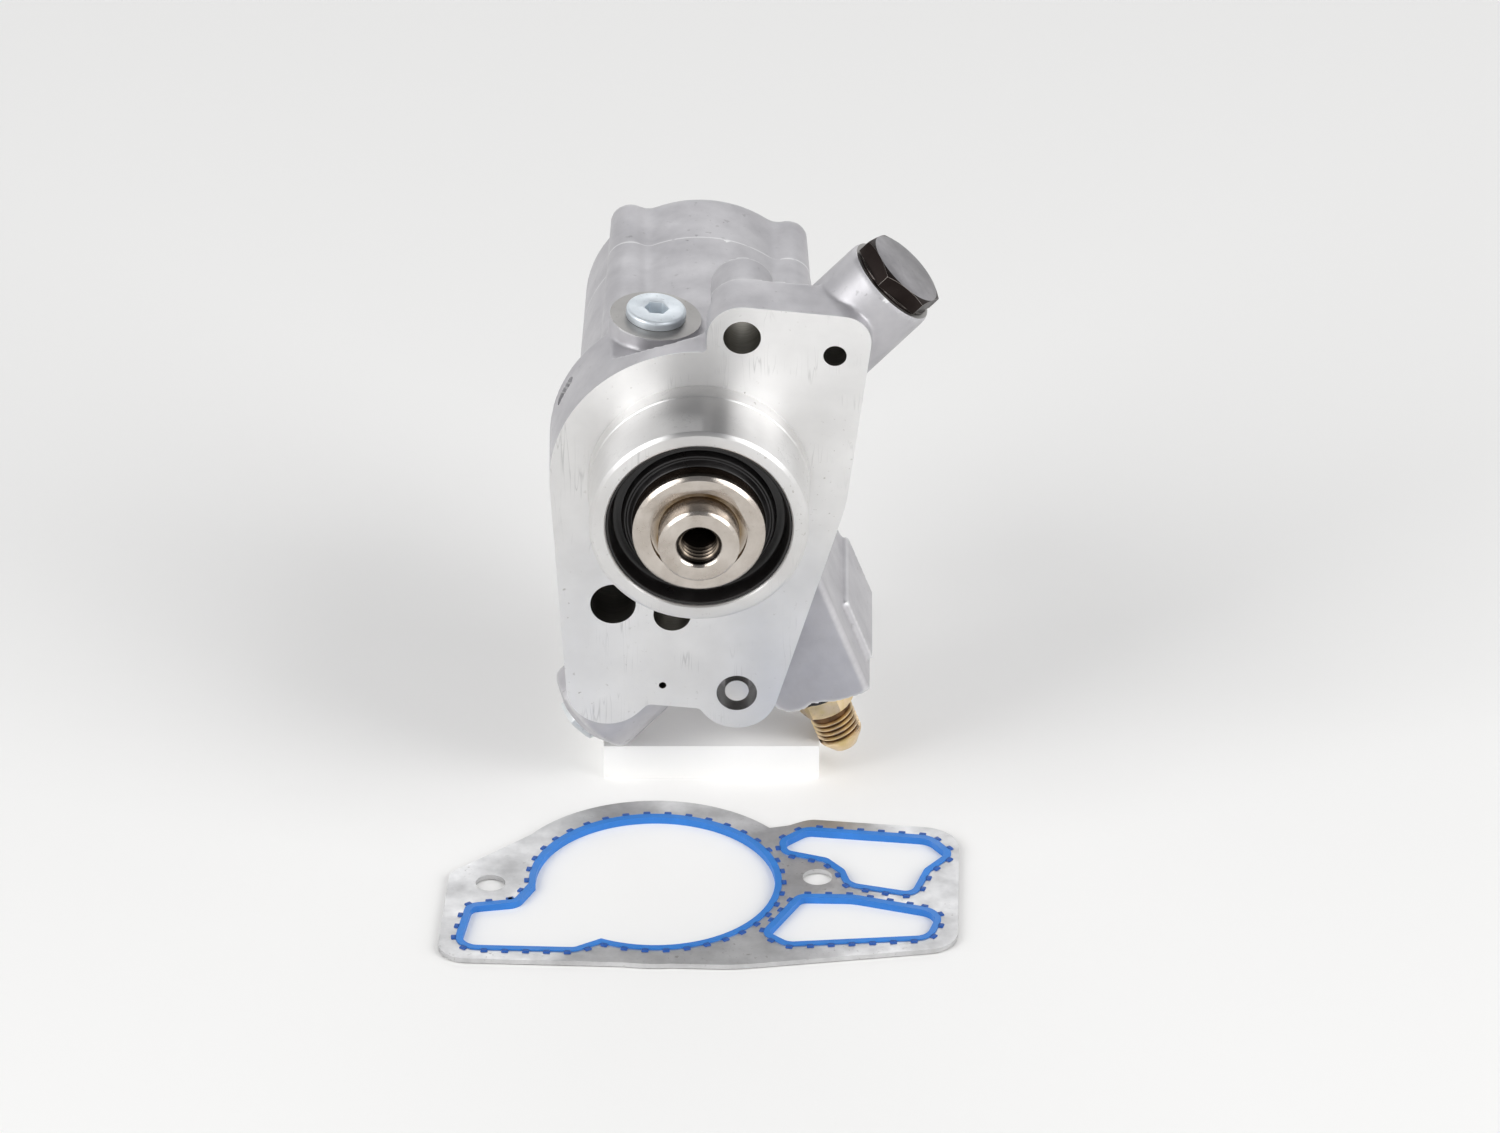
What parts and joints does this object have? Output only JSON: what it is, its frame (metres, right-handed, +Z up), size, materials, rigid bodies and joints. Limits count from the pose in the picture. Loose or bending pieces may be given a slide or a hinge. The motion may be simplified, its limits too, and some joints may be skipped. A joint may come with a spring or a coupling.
{
  "type": "engine oil pump",
  "caption": "High-pressure axial piston oil pump for an engine: cast housing with mounting flange and pilot, drive shaft, piston group, ports, fitting and flange gasket.",
  "frame": {"origin": "where the shaft axis meets the flange's front face, in the middle of the pilot", "axes": "+Y back along the shaft axis, +Z up, +X to the right seen from the shaft's nose"},
  "size_m": [0.1451, 0.1861, 0.1727],
  "materials": {
    "cast_aluminium": "sand and die cast skin, matte",
    "steel_ground": "ground steel",
    "seal_rubber": "moulded black rubber",
    "spring_steel": "spring wire",
    "bearing_steel": "hardened and ground",
    "cage_steel": "pressed steel",
    "bronze": "turned bronze",
    "zinc_plate": "bright zinc plate, slightly blue",
    "black_oxide": "black oxide, worn grey on the top",
    "yellow_zinc": "yellow passivated zinc",
    "gasket_steel": "coated sheet",
    "blue_bead": "moulded blue silicone rubber"
  },
  "bodies": {
    "housing": {"pump_housing": "cast_aluminium", "rear_cover": "cast_aluminium", "cover_screws": "black_oxide", "cover_o_ring": "seal_rubber", "seal_case": "seal_rubber", "seal_lip": "seal_rubber", "seal_garter_spring": "spring_steel", "front_bearing_ring": "bearing_steel", "thrust_washer": "bearing_steel", "pistons": "steel_ground", "piston_springs": "spring_steel", "barrel": "steel_ground", "rear_bush": "bronze", "check_plate": "steel_ground", "check_balls": "bearing_steel", "check_springs": "spring_steel", "timing_pin": "bearing_steel", "top_plug": "zinc_plate", "top_plug_o_ring": "seal_rubber", "right_port_plug": "black_oxide", "right_port_o_ring": "seal_rubber", "left_port_plug": "zinc_plate", "left_port_o_ring": "seal_rubber", "flare_fitting": "yellow_zinc", "fitting_o_ring": "seal_rubber", "check_pin": "steel_ground", "gasket_carrier": "gasket_steel", "gasket_beads": "blue_bead"},
    "shaft": {"drive_shaft": "steel_ground"},
    "front_cage": {"front_rollers": "bearing_steel", "front_roller_cage": "cage_steel"},
    "thrust_cage": {"thrust_rollers": "bearing_steel", "thrust_cage": "cage_steel"},
    "cam_cage": {"cam_rollers": "bearing_steel", "cam_cage": "cage_steel"},
    "wobble_plate": {"wobble_plate": "bearing_steel"}
  },
  "joints": [
    {"name": "shaft_spin", "type": "hinge", "parent": "housing", "child": "shaft", "pos_m": [0, 0, 0], "axis": [0, 1, 0], "continuous": true},
    {"name": "front_cage_spin", "type": "hinge", "parent": "housing", "child": "front_cage", "pos_m": [0, 0, 0], "axis": [0, 1, 0], "continuous": true},
    {"name": "thrust_cage_spin", "type": "hinge", "parent": "housing", "child": "thrust_cage", "pos_m": [0, 0, 0], "axis": [0, 1, 0], "continuous": true},
    {"name": "cam_cage_spin", "type": "hinge", "parent": "shaft", "child": "cam_cage", "pos_m": [0, 0.02221, 0], "axis": [0, 0.9659, 0.2588], "continuous": true},
    {"name": "wobble_plate_spin", "type": "hinge", "parent": "shaft", "child": "wobble_plate", "pos_m": [0, 0.02221, 0], "axis": [0, 0.9659, 0.2588], "continuous": true}
  ],
  "couplings": [
    {"joint": "front_cage_spin", "follows": "shaft_spin", "ratio": 0.4512},
    {"joint": "thrust_cage_spin", "follows": "shaft_spin", "ratio": 0.5},
    {"joint": "cam_cage_spin", "follows": "shaft_spin", "ratio": -0.5},
    {"joint": "wobble_plate_spin", "follows": "shaft_spin", "ratio": -1}
  ]
}
